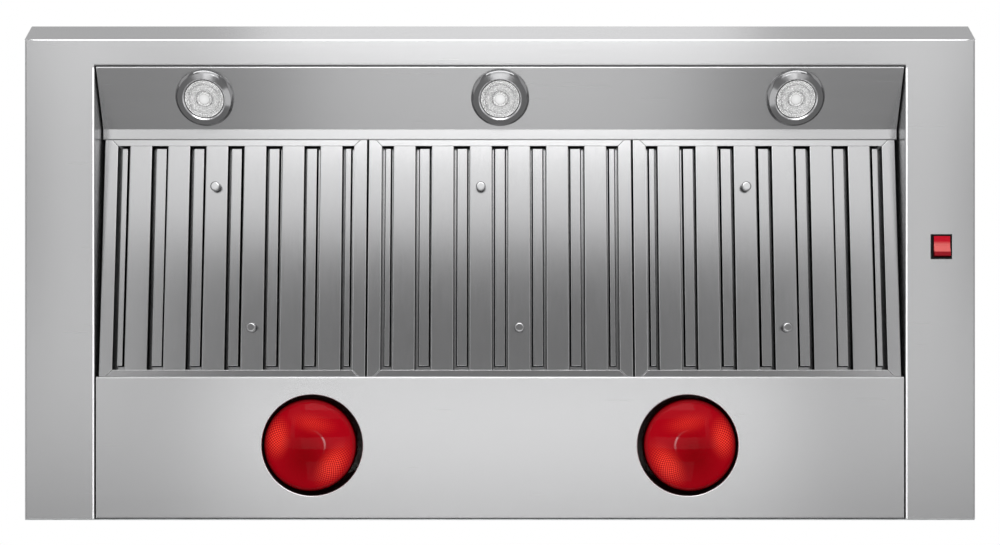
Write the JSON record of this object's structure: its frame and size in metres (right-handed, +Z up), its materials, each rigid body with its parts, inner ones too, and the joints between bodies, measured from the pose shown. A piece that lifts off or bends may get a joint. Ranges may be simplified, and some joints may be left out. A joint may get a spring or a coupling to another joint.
{
  "type": "wall mount range hood",
  "caption": "Wide stainless wall mount range hood with baffle filters, recessed lights, two heat lamps, a blower and a round duct collar with a backdraft damper.",
  "frame": {"origin": "on the wall plane, at the middle of the canopy's bottom edge", "axes": "+X to the right of a person facing the hood, +Y into the wall, +Z up"},
  "size_m": [1.2176, 0.6409, 0.5222],
  "materials": {
    "brushed_steel": "brushed stainless steel, grain along the width",
    "filter_steel": "bright rolled stainless steel",
    "polished_steel": "turned and polished steel",
    "galvanised_steel": "galvanised sheet with a faint spangle",
    "zinc_steel": "zinc plated screws",
    "chrome": "satin chrome lamp trim",
    "clear_lens": "prismatic clear lens",
    "led_phosphor": "yellow phosphor of the light sources",
    "cast_aluminium": "finned lamp housing",
    "red_glass": "ruby coated reflector glass",
    "brass": "screw bases",
    "porcelain": "glazed lampholders",
    "black_plastic": "moulded black plastic",
    "red_plastic": "moulded red plastic",
    "dark_plastic": "moulded dark grey plastic",
    "circuit_board": "green circuit board",
    "black_paint": "black enamelled motor shell"
  },
  "bodies": {
    "hood": {"front_panel": "brushed_steel", "left_side_panel": "brushed_steel", "right_side_panel": "brushed_steel", "light_panel": "brushed_steel", "heat_lamp_panel": "brushed_steel", "top_panel": "brushed_steel", "back_panel": "galvanised_steel", "screws": "zinc_steel", "led_bezel_left": "chrome", "led_lens_left": "clear_lens", "led_housing_left": "cast_aluminium", "led_bezel_centre": "chrome", "led_lens_centre": "clear_lens", "led_housing_centre": "cast_aluminium", "led_bezel_right": "chrome", "led_lens_right": "clear_lens", "led_housing_right": "cast_aluminium", "led_emitters": "led_phosphor", "led_driver": "dark_plastic", "heat_lamp_bulb_left": "red_glass", "heat_lamp_well_left": "galvanised_steel", "heat_lamp_bulb_right": "red_glass", "heat_lamp_well_right": "galvanised_steel", "heat_lamp_caps": "brass", "heat_lamp_sockets": "porcelain", "heat_lamp_switch": "black_plastic", "control_bezel": "black_plastic", "control_board": "circuit_board", "blower_wrap": "galvanised_steel", "blower_side_left": "galvanised_steel", "blower_side_right": "galvanised_steel", "motor_bracket": "galvanised_steel", "duct_collar": "galvanised_steel", "junction_box": "galvanised_steel", "junction_box_cover": "galvanised_steel", "motor": "black_paint", "damper_pin": "polished_steel", "run_capacitor": "dark_plastic"},
    "filter_left": {"filter_frame_left": "filter_steel", "lower_baffles_left": "filter_steel", "upper_baffles_left": "filter_steel", "filter_knobs_left": "polished_steel"},
    "filter_centre": {"filter_frame_centre": "filter_steel", "lower_baffles_centre": "filter_steel", "upper_baffles_centre": "filter_steel", "filter_knobs_centre": "polished_steel"},
    "filter_right": {"filter_frame_right": "filter_steel", "lower_baffles_right": "filter_steel", "upper_baffles_right": "filter_steel", "filter_knobs_right": "polished_steel"},
    "rotor": {"blower_impeller": "galvanised_steel", "motor_shaft": "polished_steel"},
    "damper_front": {"damper_flap_front": "galvanised_steel"},
    "damper_rear": {"damper_flap_rear": "galvanised_steel"},
    "rocker": {"heat_lamp_rocker": "red_plastic"},
    "off_button": {"off_button": "polished_steel"},
    "low_button": {"low_button": "polished_steel"},
    "medium_button": {"medium_button": "polished_steel"},
    "high_button": {"high_button": "polished_steel"},
    "light_button": {"light_button": "polished_steel"}
  },
  "joints": [
    {"name": "filter_left_slide", "type": "slide", "parent": "hood", "child": "filter_left", "axis": [0, 0.9947, -0.1027], "range_m": [0, 0.01]},
    {"name": "filter_centre_slide", "type": "slide", "parent": "hood", "child": "filter_centre", "axis": [0, 0.9947, -0.1027], "range_m": [0, 0.01]},
    {"name": "filter_right_slide", "type": "slide", "parent": "hood", "child": "filter_right", "axis": [0, 0.9947, -0.1027], "range_m": [0, 0.01]},
    {"name": "blower_spin", "type": "hinge", "parent": "hood", "child": "rotor", "pos_m": [0, -0.245, 0.25], "axis": [1, 0, 0], "continuous": true},
    {"name": "damper_front_hinge", "type": "hinge", "parent": "hood", "child": "damper_front", "pos_m": [0, -0.165, 0.4718], "axis": [-1, 0, 0], "range_deg": [0, 75]},
    {"name": "damper_rear_hinge", "type": "hinge", "parent": "hood", "child": "damper_rear", "pos_m": [0, -0.165, 0.4718], "axis": [1, 0, 0], "range_deg": [0, 75]},
    {"name": "rocker_tilt", "type": "hinge", "parent": "hood", "child": "rocker", "pos_m": [0.565, -0.35, 0.0015], "axis": [1, 0, 0], "range_deg": [0, 16]},
    {"name": "off_button_press", "type": "slide", "parent": "hood", "child": "off_button", "axis": [0, 1, 0], "range_m": [0, 0.0015], "stiffness_N_per_m": 400},
    {"name": "low_button_press", "type": "slide", "parent": "hood", "child": "low_button", "axis": [0, 1, 0], "range_m": [0, 0.0015], "stiffness_N_per_m": 400},
    {"name": "medium_button_press", "type": "slide", "parent": "hood", "child": "medium_button", "axis": [0, 1, 0], "range_m": [0, 0.0015], "stiffness_N_per_m": 400},
    {"name": "high_button_press", "type": "slide", "parent": "hood", "child": "high_button", "axis": [0, 1, 0], "range_m": [0, 0.0015], "stiffness_N_per_m": 400},
    {"name": "light_button_press", "type": "slide", "parent": "hood", "child": "light_button", "axis": [0, 1, 0], "range_m": [0, 0.0015], "stiffness_N_per_m": 400}
  ]
}
